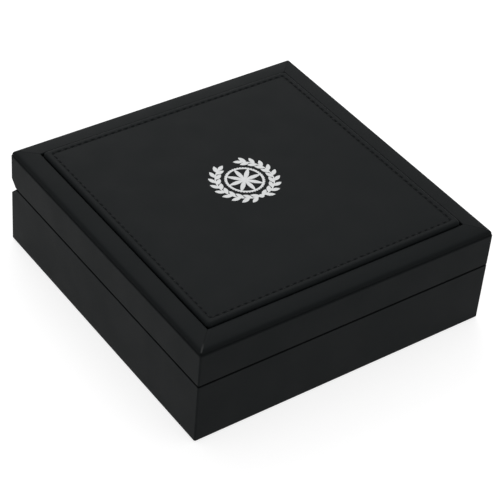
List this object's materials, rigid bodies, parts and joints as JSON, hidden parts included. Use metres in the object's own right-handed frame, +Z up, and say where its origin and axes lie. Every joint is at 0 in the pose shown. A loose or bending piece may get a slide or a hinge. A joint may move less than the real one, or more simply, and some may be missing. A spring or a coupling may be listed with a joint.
{
  "type": "coin presentation box",
  "caption": "Square hinged leatherette presentation case with a stitched, padded lid panel, mitred cornice, velvet coin tray and satin lid lining.",
  "frame": {"origin": "centre of the case's footprint, on the surface that it stands on", "axes": "+X to the right along the front, +Y to the hinges at the back, +Z up through the lid"},
  "size_m": [0.15, 0.15, 0.0516],
  "materials": {
    "black_leatherette": "satin",
    "fibreboard": "matte",
    "black_felt": "matte",
    "black_velvet": "matte",
    "tray_foam": "matte",
    "greyboard": "matte",
    "panel_foam": "matte",
    "ivory_satin": "satin",
    "nickel_steel": "satin",
    "silver_foil": "matte"
  },
  "bodies": {
    "base": {"underside_felt": "black_felt", "base_bottom_board": "fibreboard", "base_front_wall": "fibreboard", "base_back_wall": "fibreboard", "base_left_wall": "fibreboard", "base_right_wall": "fibreboard", "base_cover": "black_leatherette", "base_front_liner": "black_velvet", "base_back_liner": "black_velvet", "base_left_liner": "black_velvet", "base_right_liner": "black_velvet", "tray_foam_block": "tray_foam", "coin_tray": "black_velvet", "hinge_leaf_base_left": "nickel_steel", "hinge_pin_left": "nickel_steel", "hinge_screw_base_left_outer": "nickel_steel", "hinge_screw_base_left_inner": "nickel_steel", "hinge_leaf_base_right": "nickel_steel", "hinge_pin_right": "nickel_steel", "hinge_screw_base_right_outer": "nickel_steel", "hinge_screw_base_right_inner": "nickel_steel"},
    "lid": {"lid_front_wall": "fibreboard", "lid_back_wall": "fibreboard", "lid_left_wall": "fibreboard", "lid_right_wall": "fibreboard", "lid_cover": "black_leatherette", "lid_top_board": "fibreboard", "cornice_front": "black_leatherette", "cornice_back": "black_leatherette", "cornice_left": "black_leatherette", "cornice_right": "black_leatherette", "panel_board": "greyboard", "panel_foam": "panel_foam", "panel_cover": "black_leatherette", "foil_wreath": "silver_foil", "foil_medallion": "silver_foil", "lid_front_liner": "black_velvet", "lid_back_liner": "black_velvet", "lid_left_liner": "black_velvet", "lid_right_liner": "black_velvet", "cushion_board": "greyboard", "lid_cushion": "ivory_satin", "hinge_leaf_lid_left": "nickel_steel", "hinge_screw_lid_left_outer": "nickel_steel", "hinge_screw_lid_left_inner": "nickel_steel", "hinge_leaf_lid_right": "nickel_steel", "hinge_screw_lid_right_outer": "nickel_steel", "hinge_screw_lid_right_inner": "nickel_steel"}
  },
  "joints": [
    {"name": "lid_hinge", "type": "hinge", "parent": "base", "child": "lid", "pos_m": [0, 0.0709, 0.0307], "axis": [-1, 0, 0], "range_deg": [0, 90]}
  ]
}
